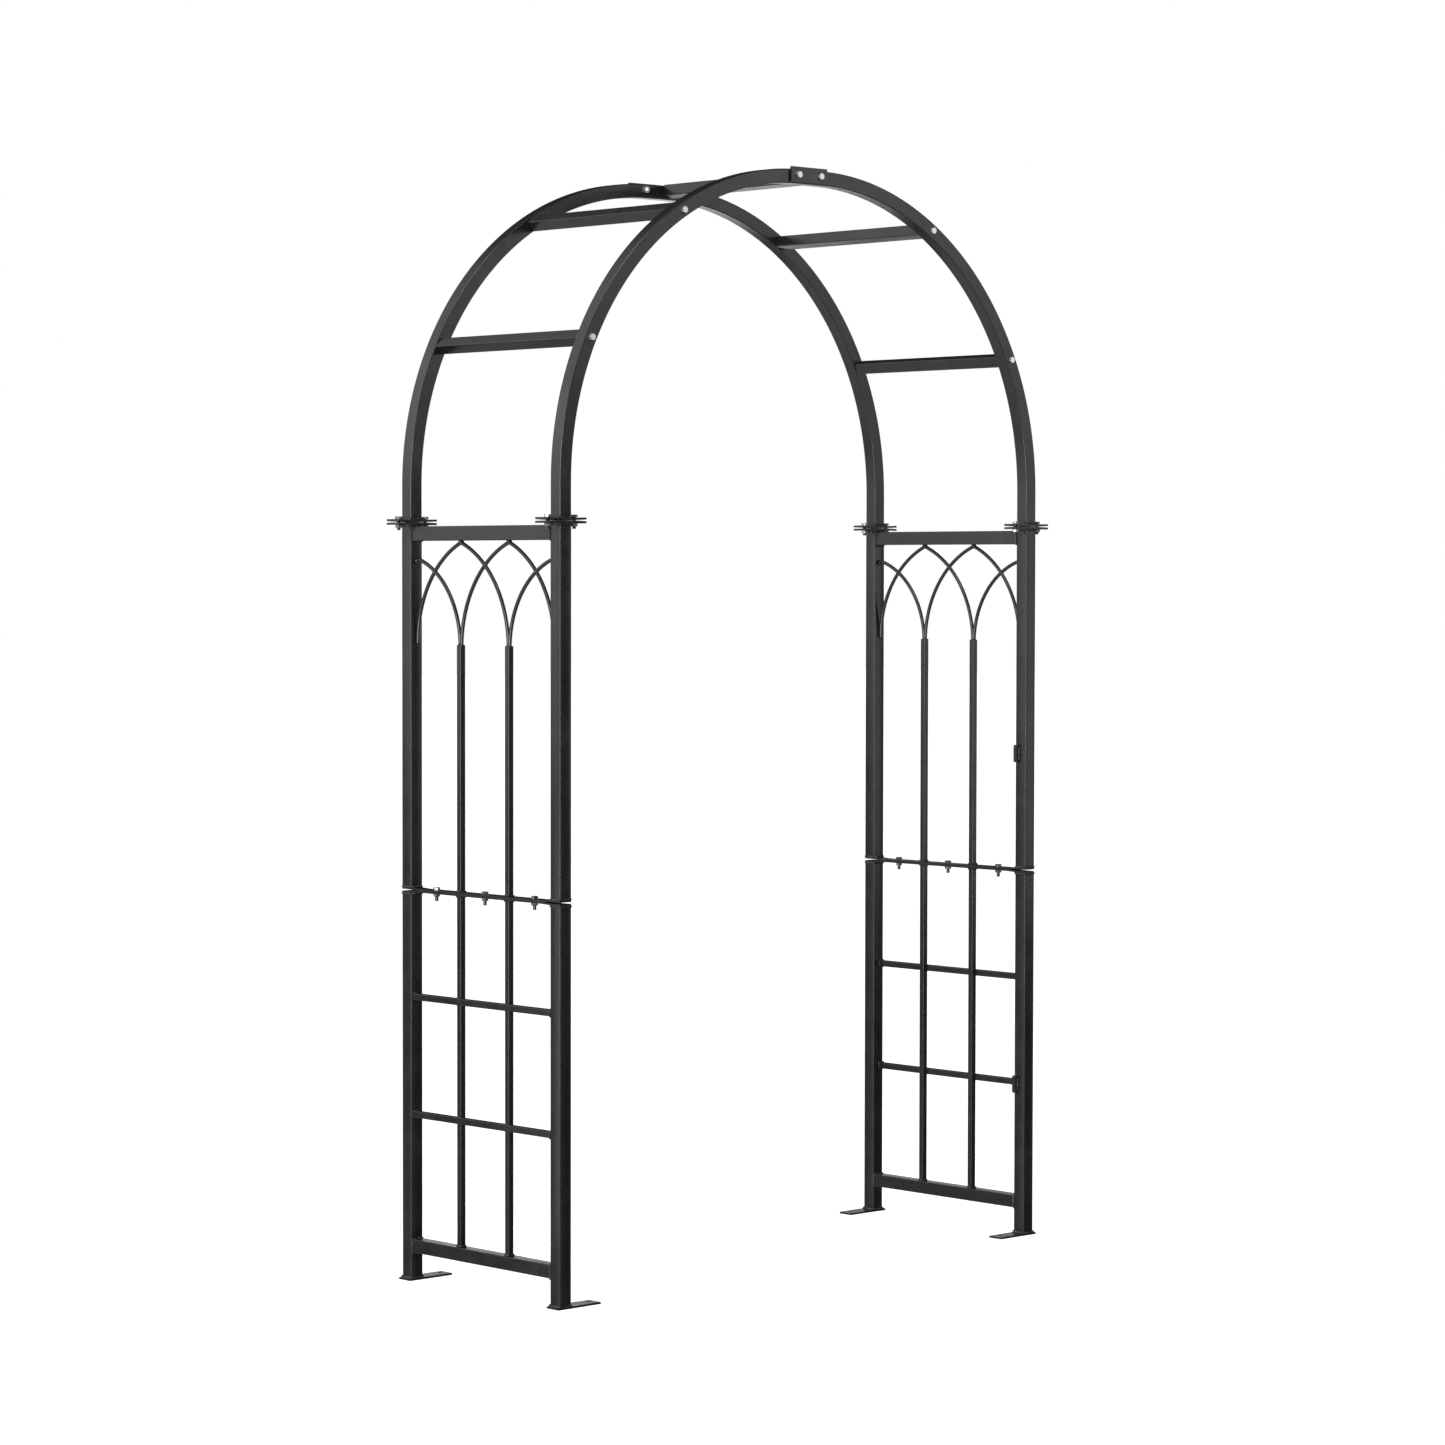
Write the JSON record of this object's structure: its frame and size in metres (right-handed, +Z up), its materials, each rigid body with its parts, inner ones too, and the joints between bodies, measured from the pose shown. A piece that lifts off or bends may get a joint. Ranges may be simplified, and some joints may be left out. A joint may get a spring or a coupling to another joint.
{
  "type": "garden trellis arch",
  "caption": "Free-standing garden arch of black square steel tube: two lattice side panels with pointed-arch tracery, joined overhead by a round hooped arch with bolted crossbars.",
  "frame": {"origin": "on the ground, at the middle of the footprint", "axes": "+X across the path from the left panel to the right one, +Y from front to back along the path, +Z up"},
  "size_m": [1.474, 0.5208, 2.3235],
  "materials": {
    "powder_coat": "satin black powder coat, lightly mottled",
    "zinc_fasteners": "bright zinc plate, dulled on the lower bolts"
  },
  "bodies": {
    "root": {"back_crossbar_bolt_crown": "zinc_fasteners", "back_crossbar_bolt_left_lower": "zinc_fasteners", "back_crossbar_bolt_left_upper": "zinc_fasteners", "back_crossbar_bolt_right_lower": "zinc_fasteners", "back_crossbar_bolt_right_upper": "zinc_fasteners", "back_hoop_left_quarter": "powder_coat", "back_hoop_right_quarter": "powder_coat", "back_splice_bolt": "zinc_fasteners", "back_splice_plate": "powder_coat", "crossbar_crown": "powder_coat", "crossbar_left_lower": "powder_coat", "crossbar_left_upper": "powder_coat", "crossbar_right_lower": "powder_coat", "crossbar_right_upper": "powder_coat", "front_crossbar_bolt_crown": "zinc_fasteners", "front_crossbar_bolt_left_lower": "zinc_fasteners", "front_crossbar_bolt_left_upper": "zinc_fasteners", "front_crossbar_bolt_right_lower": "zinc_fasteners", "front_crossbar_bolt_right_upper": "zinc_fasteners", "front_hoop_left_quarter": "powder_coat", "front_hoop_right_quarter": "powder_coat", "front_splice_bolt": "zinc_fasteners", "front_splice_plate": "powder_coat", "gate_lug_lower": "powder_coat", "gate_lug_upper": "powder_coat", "left_back_flange_bolt_inner": "zinc_fasteners", "left_back_flange_bolt_outer": "zinc_fasteners", "left_back_lower_post": "powder_coat", "left_back_upper_post": "powder_coat", "left_bottom_rail": "powder_coat", "left_front_flange_bolt_inner": "zinc_fasteners", "left_front_flange_bolt_outer": "zinc_fasteners", "left_front_lower_post": "powder_coat", "left_front_upper_post": "powder_coat", "left_lower_flat_bar": "powder_coat", "left_lower_lattice": "powder_coat", "left_panel_bolt_back": "zinc_fasteners", "left_panel_bolt_front": "zinc_fasteners", "left_panel_bolt_middle": "zinc_fasteners", "left_top_rail": "powder_coat", "left_upper_flat_bar": "powder_coat", "left_upper_lattice": "powder_coat", "right_back_flange_bolt_inner": "zinc_fasteners", "right_back_flange_bolt_outer": "zinc_fasteners", "right_back_lower_post": "powder_coat", "right_back_upper_post": "powder_coat", "right_bottom_rail": "powder_coat", "right_front_flange_bolt_inner": "zinc_fasteners", "right_front_flange_bolt_outer": "zinc_fasteners", "right_front_lower_post": "powder_coat", "right_front_upper_post": "powder_coat", "right_lower_flat_bar": "powder_coat", "right_lower_lattice": "powder_coat", "right_panel_bolt_back": "zinc_fasteners", "right_panel_bolt_front": "zinc_fasteners", "right_panel_bolt_middle": "zinc_fasteners", "right_top_rail": "powder_coat", "right_upper_flat_bar": "powder_coat", "right_upper_lattice": "powder_coat"}
  },
  "joints": []
}
